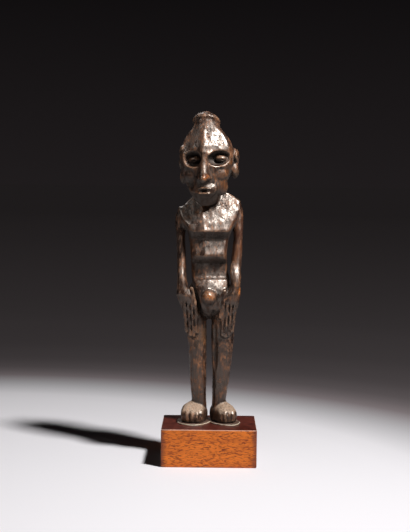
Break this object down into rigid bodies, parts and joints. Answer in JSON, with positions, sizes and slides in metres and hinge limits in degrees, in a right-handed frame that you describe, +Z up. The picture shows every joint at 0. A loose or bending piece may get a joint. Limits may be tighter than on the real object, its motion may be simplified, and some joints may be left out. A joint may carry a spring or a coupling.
{
  "type": "sepik figure",
  "caption": "Small carved wooden standing figure in the Sepik style, hands on its thighs, fixed by a pale seating pad to a rectangular wooden block.",
  "frame": {"origin": "middle of the block's underside, which is the bottom centre of the whole object's box", "axes": "+Z up along the figure, -Y the way its face and toes point, +X to the viewer's right"},
  "size_m": [0.075, 0.0624, 0.2786],
  "materials": {
    "figure_wood": "dark, handled patina with a soft gloss, worn to brown and orange on edges",
    "block_wood": "waxed red-brown hardwood with ray fleck on its faces",
    "pad_wax": "pale matt seating compound"
  },
  "bodies": {
    "root": {"base_block": "block_wood", "seating_pad": "pad_wax", "figure": "figure_wood"}
  },
  "joints": []
}
